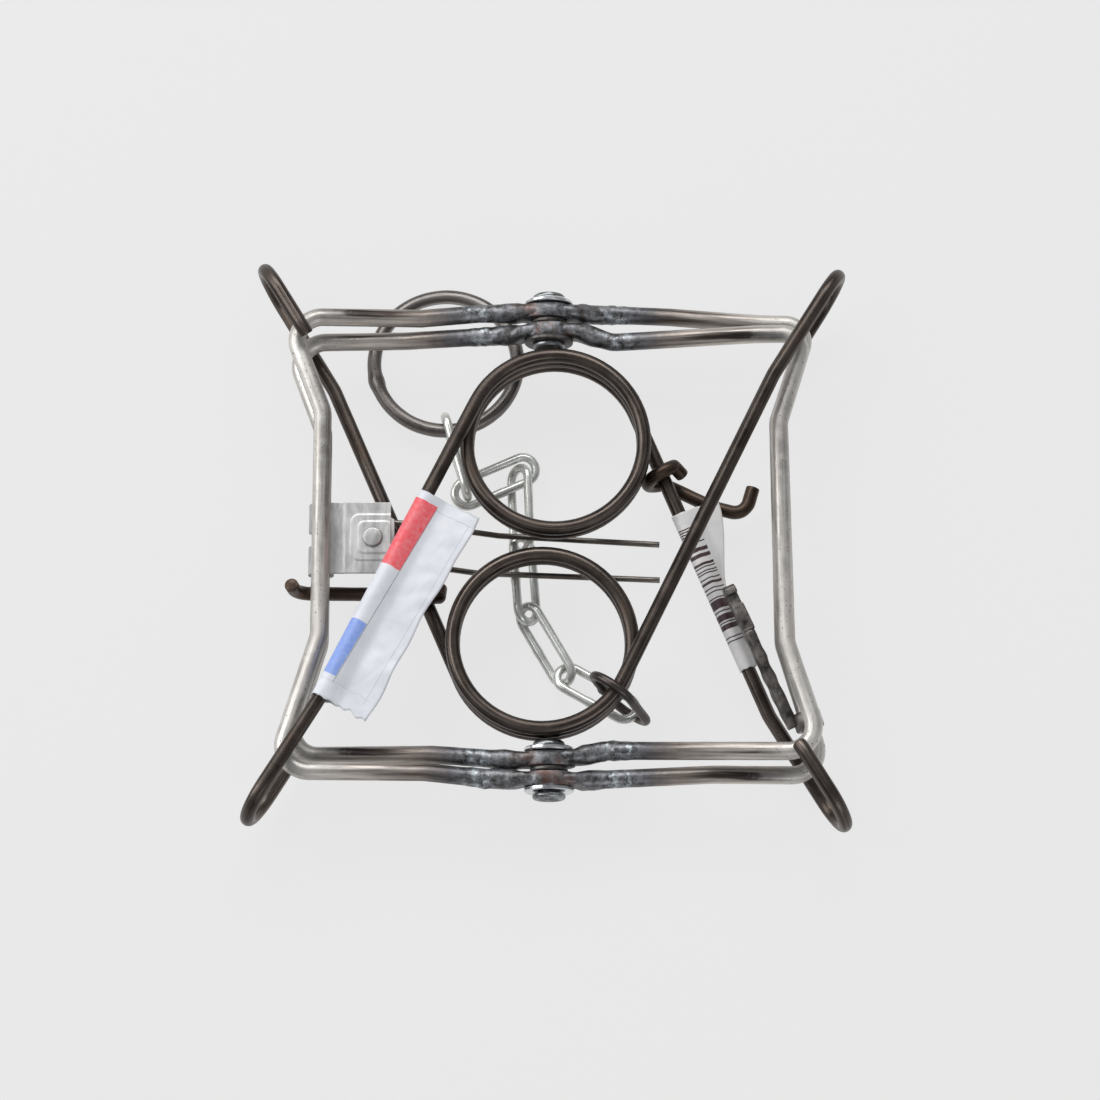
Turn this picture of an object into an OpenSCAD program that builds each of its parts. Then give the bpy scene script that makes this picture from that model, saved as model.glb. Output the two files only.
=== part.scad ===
// Body grip trap, fired and lying flat with both springs folded in.
// X runs along the jaws' spread, Y along the pivot line, Z up from the floor.
// All sizes are in millimetres.

/* [Frames] */
// Diameter of the frame rod
rod_d = 5; // [4.6:0.1:5.4]
// Height of the outer frame's cross bars from the middle
outer_bar_y = 64.8; // [64.4:0.1:66]
// Gap between the outer and the inner frame's cross bars
frame_gap = 0.4; // [0.2:0.1:1.6]
// Angle of each frame's plane from the floor when the jaws are shut
shut_angle = 3; // [2.9:0.1:3.4]
// Thickness of the forged pads at the pivots
pad_t = 4; // [3:0.2:4.4]
// Width of the forged pads at the pivots
pad_w = 11; // [9:0.5:13]
// Distance from the pivot to the frame welds
weld_x = 18; // [16:1:22]

/* [Pivots] */
// Diameter of the tubular rivets
rivet_d = 6; // [5:0.2:7]
// Bore through the tubular rivets
rivet_bore_d = 3.4; // [2:0.2:4]
// Running clearance of the pads on the rivets, on the radius
rivet_fit = 0.05; // [0.02:0.01:0.1]
// Outer diameter of the washers
washer_d = 13.6; // [11:0.2:15]
// Outer diameter of the spacers between the pads
spacer_d = 10.4; // [9:0.2:13]
// Thickness of the washers
washer_t = 1.2; // [0.8:0.1:1.4]
// Gap between washers, pads and heads
washer_gap = 0.2; // [0.1:0.05:0.3]

/* [Springs] */
// Diameter of the spring wire
spring_d = 4; // [3.4:0.1:4.1]
// Mean radius of the coils
coil_r = 24.75; // [22:0.25:25]
// Gap between one turn of the coils and the next
coil_gap = 0.5; // [0.5:0.05:0.6]
// Whole turns of the coils, on top of the part turn between the arms
coil_turns = 2; // [1:1:2]
// Room in the eyes' height on top of the two rods that they hold
eye_play = 5.2; // [4.8:0.2:6]
// Length of the eyes between the middles of their wires
eye_l = 30; // [28:0.5:31]

/* [Trigger] */
// Thickness of the trigger's sheet metal
sheet_t = 1; // [0.7:0.1:1]
// Length of the bracket along the jaw
bracket_l = 20.6; // [18:0.2:22]
// Reach of the bracket's plate from the jaw
bracket_reach = 19.4; // [17:0.2:20]
// Diameter of the trigger rivet's head
trigger_head_d = 5.6; // [4:0.2:6]
// Diameter of the trigger wires
trigger_wire_d = 1.7; // [1.2:0.1:1.8]

/* [Dog and hooks] */
// Diameter of the dog's shank
dog_d = 3.6; // [3:0.1:3.8]
// Wall of the dog's eye
dog_wall = 1.8; // [1.2:0.1:1.8]
// Diameter of the safety hooks' wire
hook_d = 4; // [3:0.1:4]

/* [Chain] */
// Diameter of the links' wire
link_d = 2.5; // [2:0.1:2.6]
// Room inside a link on top of the anchor ring's wire
link_play = 0.8; // [0.6:0.1:1]
// Length inside a link
link_l = 22; // [21.6:0.1:23]
// Diameter of the coil ring's wire
coil_ring_d = 2.6; // [2:0.1:2.8]
// Diameter of the anchor ring's wire
anchor_d = 4; // [3:0.1:4]
// Mean radius of the anchor ring
anchor_r = 20.5; // [18:0.5:21]

/* [Labels] */
// Thickness of the paper labels
paper_t = 0.4; // [0.3:0.05:0.5]
// Width of the flag label beside the spring
flag_w = 15.4; // [10:0.2:17]

/* [Hidden] */
$fn = 48;

// The floor lies this far under the plane between the frames.
lift = 17.6;
inner_bar_y = outer_bar_y - rod_d - frame_gap;
coil_pitch = spring_d + coil_gap;
eye_h = spring_d + 2 * rod_d + eye_play;
link_w = anchor_d + link_play;
corner_bend_r = 7;
// Rods run into their pads this far from the pivot, where the pads' necks end.
rod_in = 8;
pad_neck_x = 10;
pad_taper = 7;
weld_d = rod_d + 0.9;
weld_l = 2.6;

// Middles of the pads along the pivot line, and of the washers and heads beside them.
inner_pad_y = outer_bar_y - pad_t / 2 - 1.6;
outer_pad_y = inner_pad_y + pad_t + washer_t + 2 * washer_gap;
inner_washer_y = inner_pad_y - pad_t / 2 - washer_gap - washer_t;
middle_washer_y = inner_pad_y + pad_t / 2 + washer_gap;
outer_washer_y = outer_pad_y + pad_t / 2 + washer_gap;
head_t = 1.8;
head_d = rivet_d + 3.2;

// Each half frame is one bent rod, as points in its own plane from weld to weld.
outer_left_run = [
    [-rod_in, outer_pad_y], [-20, outer_bar_y + 1.6], [-36, outer_bar_y], [-74, outer_bar_y],
    [-63.3, 37], [-63.3, -27], [-75, -outer_bar_y], [-34, -outer_bar_y], [-weld_x, -outer_bar_y - 1.6]
];
outer_right_run = [
    [weld_x, outer_bar_y + 2], [34, outer_bar_y + 1.6], [60, outer_bar_y], [74, outer_bar_y],
    [64.6, 36], [65, -28], [76, -outer_bar_y], [45, -outer_bar_y], [rod_in, -outer_pad_y]
];
inner_left_run = [
    [-weld_x, inner_bar_y + 1], [-40, inner_bar_y], [-73.5, inner_bar_y],
    [-63.5, 33], [-63.5, -28], [-73, -inner_bar_y], [-32, -inner_bar_y], [-rod_in, -inner_pad_y]
];
inner_right_run = [
    [rod_in, inner_pad_y], [18, inner_bar_y - 1.4], [58, inner_bar_y + 0.4], [72.5, inner_bar_y + 0.4],
    [64.4, 34], [65.3, -29], [75, -inner_bar_y], [weld_x, -inner_bar_y + 0.6]
];
weld_gap = 0.3;
stub_x = weld_x - weld_gap;
outer_stub = [[rod_in, outer_pad_y], [stub_x, outer_bar_y + 2]];
outer_low_stub = [[-rod_in, -outer_pad_y], [-stub_x, -outer_bar_y - 1.6]];
inner_stub = [[-rod_in, inner_pad_y], [-stub_x + 2, inner_bar_y + 1], [-stub_x, inner_bar_y + 1]];
inner_low_stub = [[rod_in, -inner_pad_y], [stub_x - 2, -inner_bar_y + 0.6], [stub_x, -inner_bar_y + 0.6]];

// The jaw bars that the bracket and the dog turn on, in the closed trap.
trigger_bar_x = -63.5 * cos(shut_angle);
trigger_bar_z = -63.5 * sin(shut_angle);
bracket_y = 1.7;
jaw_fit = 0.1;
curl_r = rod_d / 2 + jaw_fit;
curl_l = 8;
tab_l = 6.5;
tab_lap = 1.5;
rib_w = 0.8;
rib_t = 0.35;
trigger_hole_d = 3;
trigger_hole = [-49, 1.6];
trigger_top = trigger_bar_z + curl_r;
swivel_gap = 0.2;
swivel_top = trigger_top - swivel_gap;
swivel_half = 6;
swivel_l = 11;

// Springs: the bottom one, whose coil lies in the upper half. The top one is the same, turned half round.
coil_at = [1.8, 28.4];
arm_angle = 26;
left_bend = [-62.5, -46];
left_tip = [-82, -77.3];
right_bend = [61, -47];
right_tip = [80.5, -79];
eye_curl = 25;
coil_steps = 24;
arm_steps = 6;
tip_steps = 8;

function unit(v) = v / norm(v);
function flat(v, z) = [v[0], v[1], z];
function side_of(d) = [d[1], -d[0], 0];

// One arm with its eye, from the coil outwards, at height z and with the eye's first strand at that side of zero.
function eye_path(bend, tip, side, turn) =
    let(
        d = unit(tip - bend), r = eye_h / 2, far = norm(tip - bend) - r,
        near = far - (eye_l - eye_h), n = turn * side_of(d),
        at = function(s, z) flat(bend + s * d, z * side)
    )
    concat(
        [[at(near, r), n]],
        [for (i = [0:tip_steps]) let(a = i * 180 / tip_steps) [at(far + r * sin(a), r * cos(a)), n]],
        [for (i = [0:2]) let(a = i * eye_curl / 2) [at(near - r * sin(a), -r * cos(a)), n]]
    );

coil_span = 360 * coil_turns + 180 - 2 * arm_angle;
coil_rise = coil_pitch * coil_span / 360;
function coil_point(a) =
    let(
        turn = a / coil_span, on = 180 - arm_angle - a,
        out = [cos(on), sin(on), 0]
    )
    [flat(coil_at, coil_rise * (0.5 - turn)) + coil_r * out, out];
coil_rings = ceil(coil_span / 360 * coil_steps);
coil_path = [for (i = [0:coil_rings]) coil_point(coil_span * i / coil_rings)];
left_start = coil_path[0][0];
right_start = coil_path[coil_rings][0];
left_end = flat(left_bend, eye_h / 2);
right_end = flat(right_bend, -eye_h / 2);

function arm_path(from, to, turn) =
    [for (i = [1:arm_steps]) let(p = from + (to - from) * i / arm_steps)
        [p, turn * side_of(unit([to[0] - from[0], to[1] - from[1]]))]];
function backwards(list) = [for (i = [len(list) - 1:-1:0]) list[i]];
spring_path = concat(
    backwards(concat(
        arm_path(left_start, left_end, 1),
        eye_path(left_bend, left_tip, 1, 1)
    )),
    coil_path,
    arm_path(right_start, right_end, -1),
    eye_path(right_bend, right_tip, -1, -1)
);

// Least gap of the spring's wire to itself, between points more than a wire's reach apart along it.
function run_lengths(path, i = 0, sum = 0) =
    i >= len(path) ? [] : let(s = i == 0 ? 0 : sum + norm(path[i][0] - path[i - 1][0]))
        concat([s], run_lengths(path, i + 1, s));
function middle_points(path) =
    [for (i = [0:len(path) - 2]) for (k = [0:3]) path[i][0] + (path[i + 1][0] - path[i][0]) * k / 4];
fine = [for (p = middle_points(spring_path)) [p]];
fine_at = run_lengths(fine);
self_gap = min([
    for (i = [0:len(fine) - 1]) for (j = [i + 1:len(fine) - 1])
        if (fine_at[j] - fine_at[i] > 5 * spring_d) norm(fine[i][0] - fine[j][0])
]) - spring_d;
echo(spring_self_gap = self_gap);

// The chain's links from the anchor ring to the coil ring, each as the two ends of its axis and its roll.
chain_run = [
    [[-29, 38.2, -12.7], [-23.5, 18.6, -12.8], 90],
    [[-24.6, 17, -12.9], [-5.9, 25.4, -13.3], 6],
    [[-8.4, 23.2, -13.5], [-7.6, 2.8, -13.45], 50],
    [[-7.6, 2.8, -13.75], [-6, -17.2, -13.7], -45],
    [[-6, -17.2, -13.7], [4.2, -34.8, -13.3], 45],
    [[4.2, -34.8, -13.2], [22.4, -45.4, -11.3], -18]
];
coil_ring_at = chain_run[5][1];

// Turns what stands at the origin along Z so that it runs from one point along a direction.
module along(from, d, side = [0, 0, 0]) {
    z = unit(d);
    guess = norm(side) > 0 ? side : (abs(z[2]) < 0.9 ? [0, 0, 1] : [1, 0, 0]);
    x = unit(cross(guess, z));
    y = cross(z, x);
    multmatrix([
        [x[0], y[0], z[0], from[0]], [x[1], y[1], z[1], from[1]],
        [x[2], y[2], z[2], from[2]], [0, 0, 0, 1]
    ]) children();
}

// A round rod through points, with round bends. The reference side is square to most of the run.
bend_step = 15;
function round_bend(corner, before, after, turn, bend_r) =
    let(
        middle = corner + unit(after - before) * bend_r / cos(turn / 2),
        out = unit(corner - before * bend_r * tan(turn / 2) - middle),
        steps = ceil(turn / bend_step)
    )
    [for (k = [0:steps]) let(a = turn * k / steps) middle + bend_r * (cos(a) * out + sin(a) * before)];
function rounded(points, bend_r) =
    let(
        n = len(points),
        p = [for (v = points) len(v) == 3 ? v : [v[0], v[1], 0]],
        t = [for (i = [0:n - 2]) unit(p[i + 1] - p[i])]
    )
    concat(
        [p[0]],
        [for (i = [1:n - 2])
            let(turn = acos(min(1, t[i - 1] * t[i])))
            each turn < 0.5 ? [p[i]] : round_bend(p[i], t[i - 1], t[i], turn, bend_r)],
        [p[n - 1]]
    );
module bent_rod(points, d, bend_r, side = [0, 0, 1], sides = 10)
    tube([for (v = rounded(points, bend_r)) [v, side]], d, sides);

// A tube of straight rings along a path of [point, side direction].
module tube(path, d, sides = 6) {
    n = len(path);
    p = [for (v = path) v[0]];
    t = [for (i = [0:n - 1]) unit(p[min(i + 1, n - 1)] - p[max(i - 1, 0)])];
    rings = [for (i = [0:n - 1])
        let(a = unit(path[i][1] - (path[i][1] * t[i]) * t[i]), b = cross(t[i], a))
        for (k = [0:sides - 1]) p[i] + d / 2 * (cos(k * 360 / sides) * a + sin(k * 360 / sides) * b)];
    walls = [for (i = [0:n - 2]) for (k = [0:sides - 1])
        let(a = i * sides + k, b = i * sides + (k + 1) % sides, c = a + sides, e = b + sides)
        each [[a, c, b], [b, c, e]]];
    caps = [for (k = [1:sides - 2])
        each [[0, k, k + 1], [(n - 1) * sides, (n - 1) * sides + k + 1, (n - 1) * sides + k]]];
    polyhedron(points = rings, faces = concat(walls, caps), convexity = 8);
}

module torus(r, d) { rotate_extrude() translate([r, 0]) circle(d = d); }

// A link or oval ring standing with its length along X and its opening along Z.
module oval_ring(long, wide, d) {
    r = wide / 2 + d / 2;
    half = (long - wide) / 2;
    for (s = [-1, 1]) {
        translate([-half, s * r, 0]) rotate([0, 90, 0]) cylinder(d = d, h = 2 * half);
        translate([s * half, 0, 0]) rotate([0, 0, s * 90 - 180])
            rotate_extrude(angle = 180) translate([r, 0]) circle(d = d);
    }
}

// The forged pad of a half frame, a flat plate across the pivot line.
module pad(y) {
    half = rod_d / 2 - 0.4;
    reach = pad_neck_x;
    translate([0, y + pad_t / 2, 0]) rotate([90, 0, 0]) difference() {
        linear_extrude(pad_t) {
            circle(d = pad_w);
            polygon([
                [-reach, -half], [-pad_taper, -half], [-2, -pad_w / 2], [2, -pad_w / 2],
                [pad_taper, -half], [reach, -half], [reach, half], [pad_taper, half],
                [2, pad_w / 2], [-2, pad_w / 2], [-pad_taper, half], [-reach, half]
            ]);
        }
        translate([0, 0, -1]) cylinder(d = rivet_d + 2 * rivet_fit, h = pad_t + 2);
    }
}

// A flash of weld round the rod's end.
module weld(at, towards) {
    d = unit(towards - at);
    along([at[0] + d[0] * weld_gap, at[1] + d[1] * weld_gap, 0], [d[0], d[1], 0]) cylinder(d = weld_d, h = weld_l);
}

module lifted() { translate([0, 0, lift]) children(); }
module in_outer_plane() { lifted() rotate([0, shut_angle, 0]) children(); }
module in_inner_plane() { lifted() rotate([0, -shut_angle, 0]) children(); }

module outer_frame_left() color("darkkhaki") in_outer_plane() {
    bent_rod(outer_left_run, rod_d, corner_bend_r);
    bent_rod(outer_stub, rod_d, corner_bend_r);
    pad(outer_pad_y);
    weld(outer_left_run[8], outer_left_run[7]);
}

module outer_frame_right() color("darkkhaki") in_outer_plane() {
    bent_rod(outer_right_run, rod_d, corner_bend_r);
    bent_rod(outer_low_stub, rod_d, corner_bend_r);
    pad(-outer_pad_y);
    weld(outer_right_run[0], outer_right_run[1]);
}

module inner_frame_left() color("tan") in_inner_plane() {
    bent_rod(inner_left_run, rod_d, corner_bend_r);
    bent_rod(inner_low_stub, rod_d, corner_bend_r);
    pad(-inner_pad_y);
    weld(inner_left_run[0], inner_left_run[1]);
}

module inner_frame_right() color("tan") in_inner_plane() {
    bent_rod(inner_right_run, rod_d, corner_bend_r);
    bent_rod(inner_stub, rod_d, corner_bend_r);
    pad(inner_pad_y);
    weld(inner_right_run[7], inner_right_run[6]);
}

// A tubular rivet at the top, its rolled head outwards.
module pivot_rivet() {
    from = inner_washer_y - washer_gap;
    to = outer_washer_y + washer_t + washer_gap;
    rotate([-90, 0, 0]) difference() {
        union() {
            translate([0, 0, from]) cylinder(d = rivet_d, h = to - from);
            translate([0, 0, from - head_t]) cylinder(d1 = head_d - 1.6, d2 = head_d, h = head_t);
            translate([0, 0, to]) cylinder(d = head_d - 1.4, h = head_t);
            translate([0, 0, to + head_t / 2]) torus(head_d / 2 - head_t / 2, head_t);
        }
        translate([0, 0, from - head_t - 1]) cylinder(d = rivet_bore_d, h = to - from + 2 * head_t + 2);
    }
}

module top_pivot_rivet() color("slategray") lifted() pivot_rivet();
module bottom_pivot_rivet() color("slategray") lifted() mirror([0, 1, 0]) pivot_rivet();

// The same washer at the top and the bottom pivot.
module washers(y, d = washer_d) color("silver") lifted() for (s = [0, 1]) mirror([0, s, 0])
    translate([0, y, 0]) rotate([-90, 0, 0]) difference() {
        cylinder(d = d, h = washer_t);
        translate([0, 0, -1]) cylinder(d = rivet_d + 0.4, h = washer_t + 2);
    }

module spring() tube(spring_path, spring_d);
module bottom_spring() color("#3a3230") lifted() spring();
module top_spring() color("#3a3230") lifted() rotate([0, 0, 180]) spring();

// The trigger's bracket: two curls on the jaw bar and a plate with a raised square.
module trigger_bracket() color("#9aa4a2") lifted() {
    for (s = [-1, 1])
        translate([trigger_bar_x, bracket_y + s * (bracket_l - curl_l) / 2 + curl_l / 2, trigger_bar_z])
            rotate([90, 0, 0]) difference() {
                cylinder(r = curl_r + sheet_t, h = curl_l);
                translate([0, 0, -1]) cylinder(r = curl_r, h = curl_l + 2);
            }
    plate_x = trigger_bar_x + tab_l - tab_lap;
    difference() {
        union() {
            for (s = [-1, 1])
                translate([trigger_bar_x, bracket_y + s * (bracket_l - curl_l) / 2 - curl_l / 2, trigger_top])
                    cube([tab_l, curl_l, sheet_t]);
            translate([plate_x, bracket_y - bracket_l / 2, trigger_top])
                cube([trigger_bar_x + bracket_reach - plate_x, bracket_l, sheet_t]);
        }
        translate([trigger_hole[0], trigger_hole[1], trigger_top - 1])
            cylinder(d = trigger_hole_d, h = sheet_t + 2);
    }
    translate([trigger_hole[0], trigger_hole[1], trigger_top + sheet_t]) {
        for (y = [-5.4, 5.4]) translate([-4.5, y - rib_w / 2, 0]) cube([9, rib_w, rib_t]);
        translate([-5.3, -5.8, 0]) cube([rib_w, 11.6, rib_t]);
    }
}

module trigger_swivel() color("#8b9492") lifted() difference() {
    translate([trigger_hole[0] - 5, trigger_hole[1] - swivel_half - 1.6, swivel_top - sheet_t])
        cube([swivel_l, 2 * swivel_half + 1.6, sheet_t]);
    translate([trigger_hole[0], trigger_hole[1], swivel_top - sheet_t - 1])
        cylinder(d = trigger_hole_d, h = sheet_t + 2);
}

// The rivet's domed head, its shank through both sheets, and the foot that holds the swivel.
module trigger_rivet() color("#7d8684") lifted() {
    top = trigger_top + sheet_t;
    foot_t = 0.8;
    foot_z = swivel_top - sheet_t - 0.2 - foot_t;
    translate([trigger_hole[0], trigger_hole[1], 0]) {
        translate([0, 0, top]) intersection() {
            translate([0, 0, -3.1]) sphere(r = 4.2);
            cylinder(d = trigger_head_d, h = 2);
        }
        translate([0, 0, foot_z + 0.2]) cylinder(d = trigger_hole_d - 0.1, h = top - foot_z - 0.2);
        translate([0, 0, foot_z]) cylinder(d = 4.6, h = foot_t);
    }
}

// Two stiff wires that leave the swivel, cross a spring arm and dive under both coils.
module trigger_wires() color("#6f6c68") lifted() {
    z0 = swivel_top - sheet_t - trigger_wire_d / 2;
    low = -coil_rise / 2 - spring_d / 2 - 0.35 - trigger_wire_d / 2;
    flat_side = [0, 1, 0];
    bent_rod([[-52, 7, z0], [-38, 6.2, z0], [-14, 4.2, low], [31, 1.6, low]], trigger_wire_d, 6, flat_side, 8);
    bent_rod([[-52, -5, z0], [-35, -5.8, z0], [-20, -6.6, low], [31, -8.6, low]], trigger_wire_d, 6, flat_side, 8);
}

// The dog turns on the outer frame's right jaw and lies inside it.
dog_bar_top = outer_right_run[5];
dog_bar_foot = outer_right_run[6];
dog_dir = unit(dog_bar_foot - dog_bar_top);
dog_eye = dog_bar_top + dog_dir * 22.5;
dog_eye_l = 5;
dog_z = -1.3;
dog_eye_r = rod_d / 2 + jaw_fit;
dog_head = [52.5, -18.6];
dog_head_turn = 114.5;
dog_head_l = 14;
dog_head_h = 5;
dog_head_t = 3.4;
module dog() color("#5a5552") {
    in_outer_plane()
        along([dog_eye[0] - dog_dir[0] * dog_eye_l / 2, dog_eye[1] - dog_dir[1] * dog_eye_l / 2, 0],
            [dog_dir[0], dog_dir[1], 0]) difference() {
                cylinder(r = dog_eye_r + dog_wall, h = dog_eye_l);
                translate([0, 0, -1]) cylinder(r = dog_eye_r, h = dog_eye_l + 2);
            }
    lifted() {
        bent_rod([[67.3, -51.6, -3.6], [60.5, -37, -2.2], [55.2, -24.8, dog_z]], dog_d, 6);
        translate([dog_head[0], dog_head[1], dog_z]) rotate([0, 0, dog_head_turn]) difference() {
            translate([-dog_head_l / 2, -dog_head_t / 2, -dog_head_h / 2])
                cube([dog_head_l, dog_head_t, dog_head_h]);
            translate([1, -dog_head_t, 0.3]) cube([3.2, 2 * dog_head_t, dog_head_h]);
        }
    }
}

// Points of the spring arms at a share of their length, where hooks and labels go round them.
function on_left_arm(share) = left_start + (left_end - left_start) * share;
function on_right_arm(share) = right_start + (right_end - right_start) * share;
hook_play = 0.6;
hook_loop_r = spring_d / 2 + hook_d / 2 + hook_play;

module hook(loop_at, arm_dir, run, side) {
    along(loop_at, arm_dir) torus(hook_loop_r, hook_d);
    bent_rod(run, hook_d - 0.1, 5, side);
}

right_hook_at = on_right_arm(0.226);
left_hook_at = -1 * on_right_arm(0.29);
module right_safety_hook() color("#4a423e") lifted() hook(
    right_hook_at, right_end - right_start,
    [flat(right_hook_at, right_hook_at[2] - hook_loop_r), [46, 13, -10.4], [55.2, 10.4, -9.8], [57.6, 18.5, -9.8]],
    [0, 0, 1]
);
module left_safety_hook() color("#4a423e") lifted() hook(
    flat(left_hook_at, -left_hook_at[2]), [right_end[0] - right_start[0], right_end[1] - right_start[1], 0],
    [flat(left_hook_at, -left_hook_at[2] - hook_loop_r), [-44, -12.4, -9.9], [-70.5, -12.2, -9.6], [-71.5, -11.6, -1.5]],
    [0, 1, 0]
);

// The oval ring round the top spring's coil leans out at its foot.
coil_ring_lean = 25;
coil_ring_l = 22;
coil_ring_w = 10;
coil_ring_shift = 3.4;
coil_ring_angle = atan2(coil_ring_at[1] + coil_at[1], coil_ring_at[0] + coil_at[0]);
module coil_ring() color("#4d4a48") lifted() translate([-coil_at[0], -coil_at[1], 0])
    rotate([0, 0, coil_ring_angle]) translate([coil_r, 0, 0]) rotate([0, 90 - coil_ring_lean, 0])
        translate([coil_ring_shift, 0, 0]) rotate([90, 0, 0]) oval_ring(coil_ring_l, coil_ring_w, coil_ring_d);

module chain_link(i) color("#b9bec0") lifted() {
    from = chain_run[i][0];
    to = chain_run[i][1];
    d = to - from;
    translate((from + to) / 2) rotate([0, 0, atan2(d[1], d[0])])
        rotate([0, -asin(d[2] / norm(d)), 0]) rotate([chain_run[i][2], 0, 0])
            oval_ring(link_l, link_w, link_d);
}

// The anchor ring leans on the first link and touches the floor at its far side.
anchor_near = [chain_run[0][0][0] - 0.5, 36.1, -12.7];
anchor_tilt = asin((lift - anchor_d / 2 + anchor_near[2]) / (2 * anchor_r));
module anchor_ring() color("#aab0b3") lifted() translate(anchor_near) rotate([-anchor_tilt, 0, 0])
    translate([0, anchor_r, 0]) torus(anchor_r, anchor_d);

// Paper sleeves lie this far off the wire, and the flag runs between two shares of the arm.
paper_gap = 0.15;
sleeve_r = spring_d / 2 + paper_gap;
flag_from = 30;
flag_l = 65;
stripe_from = 0.34;
stripe_l = 48;

// The flag label wraps the bottom spring's left arm and stands out to its right.
arm_dir_left = unit(left_end - left_start);
module flag_label() color("white") lifted() {
    arm_side = unit(side_of(arm_dir_left));
    up = cross(arm_dir_left, -arm_side);
    x = arm_dir_left;
    y = -arm_side;
    z = cross(x, y);
    multmatrix([
        [x[0], y[0], z[0], left_start[0]], [x[1], y[1], z[1], left_start[1]],
        [x[2], y[2], z[2], left_start[2]], [0, 0, 0, 1]
    ]) {
        translate([flag_from, 0, 0]) rotate([0, 90, 0]) difference() {
            cylinder(r = sleeve_r + paper_t, h = flag_l);
            translate([0, 0, -1]) cylinder(r = sleeve_r, h = flag_l + 2);
        }
        translate([0, 0, -paper_t / 2]) linear_extrude(paper_t) polygon([
            [flag_from, sleeve_r + 0.1], [flag_from - 1, flag_w - 1.2], [flag_from + 25, flag_w],
            [flag_from + flag_l - 1, flag_w - 0.3], [flag_from + flag_l, sleeve_r + 0.1]
        ]);
    }
}

// The stripe label is a paper sleeve round the bottom spring's right arm.
module stripe_label() color("white") lifted() {
    along(on_right_arm(stripe_from), right_end - right_start) difference() {
        cylinder(r = sleeve_r + paper_t, h = stripe_l);
        translate([0, 0, -1]) cylinder(r = sleeve_r, h = stripe_l + 2);
    }
}

inner_frame_left();
inner_frame_right();
outer_frame_left();
outer_frame_right();
top_pivot_rivet();
bottom_pivot_rivet();
washers(inner_washer_y);  // inner_washers
washers(middle_washer_y, spacer_d);  // middle_washers
washers(outer_washer_y);  // outer_washers
bottom_spring();
top_spring();
trigger_bracket();
trigger_swivel();
trigger_rivet();
trigger_wires();
dog();
right_safety_hook();
left_safety_hook();
coil_ring();
chain_link(0);  // chain_link_1
chain_link(1);  // chain_link_2
chain_link(2);  // chain_link_3
chain_link(3);  // chain_link_4
chain_link(4);  // chain_link_5
chain_link(5);  // chain_link_6
anchor_ring();
flag_label();
stripe_label();
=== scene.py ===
# %% [markdown]
# # A body grip trap, fired and lying flat
# The trap is bent and welded from round steel rod: two square frames that turn on
# two tubular rivets, two wound springs whose eyes run round both frames, a wire
# trigger, a dog, two safety hooks, a short chain with its anchor ring, and two
# paper labels. The CAD frame gives every place and every motion. Blender adds what
# CAD leaves out: smooth bends, forged ends, weld beads, folds, and the finish of
# each kind of steel.

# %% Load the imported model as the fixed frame
from math import asin, atan2, ceil, copysign, cos, degrees, exp, hypot, pi, radians, sin, tan
import bmesh
import bpy
from mathutils import Matrix, Vector, noise


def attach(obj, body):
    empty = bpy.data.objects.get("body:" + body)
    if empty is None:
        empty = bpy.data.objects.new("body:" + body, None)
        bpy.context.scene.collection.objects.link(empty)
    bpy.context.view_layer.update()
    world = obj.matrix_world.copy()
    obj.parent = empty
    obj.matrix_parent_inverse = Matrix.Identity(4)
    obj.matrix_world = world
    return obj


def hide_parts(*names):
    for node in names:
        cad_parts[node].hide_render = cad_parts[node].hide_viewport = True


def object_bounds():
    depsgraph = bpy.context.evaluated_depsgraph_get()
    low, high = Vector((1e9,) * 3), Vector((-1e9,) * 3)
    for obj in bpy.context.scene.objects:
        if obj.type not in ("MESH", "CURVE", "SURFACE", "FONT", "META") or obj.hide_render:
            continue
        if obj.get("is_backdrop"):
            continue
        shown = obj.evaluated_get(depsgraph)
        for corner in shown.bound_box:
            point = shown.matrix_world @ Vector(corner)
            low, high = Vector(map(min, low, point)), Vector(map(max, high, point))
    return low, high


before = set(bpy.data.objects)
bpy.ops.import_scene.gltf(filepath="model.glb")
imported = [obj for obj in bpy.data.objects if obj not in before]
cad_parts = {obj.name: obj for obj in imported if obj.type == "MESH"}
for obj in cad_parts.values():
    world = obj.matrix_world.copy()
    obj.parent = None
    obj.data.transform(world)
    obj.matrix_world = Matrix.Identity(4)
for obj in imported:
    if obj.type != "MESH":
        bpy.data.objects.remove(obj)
cad_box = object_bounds()

# %% [markdown]
# ## Colours and shader nodes
# Every colour is written as the sRGB hex value that the eye would pick, and one
# function turns it into the linear numbers that a shader needs. One small function
# adds a node, sets its settings and joins or sets its inputs, so a material reads
# from top to bottom like a recipe.

# %% Two small helpers for materials
def hex_colour(code):
    parts = [int(code[i:i + 2], 16) / 255 for i in (1, 3, 5)]
    return [c / 12.92 if c <= 0.04045 else ((c + 0.055) / 1.055) ** 2.4 for c in parts] + [1.0]


def add(tree, kind, inputs=(), out=0, **settings):
    """Adds a node and gives back one output. Inputs are by name or in order: sockets, values or hex codes."""
    made = tree.nodes.new("ShaderNode" + kind)
    for name, value in settings.items():
        setattr(made, name, value)
    for name, value in inputs.items() if isinstance(inputs, dict) else enumerate(inputs):
        if isinstance(value, bpy.types.NodeSocket):
            tree.links.new(value, made.inputs[name])
        else:
            made.inputs[name].default_value = hex_colour(value) if isinstance(value, str) else value
    return made.outputs[out]


# %% [markdown]
# A Mix node has three sets of inputs under the same names, so its colour inputs are
# reached by number: 6 and 7 are the two colours, and output 2 is the mixed colour.
# Each material below builds its colour in layers: a loop mixes one more tint over
# the colour so far, by a mask that says where the tint shows.

# %% The Mix node's colour sockets, and an empty material
COLOUR_A, COLOUR_B = 6, 7
MIX_COLOURS = dict(out=2, data_type="RGBA")


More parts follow.
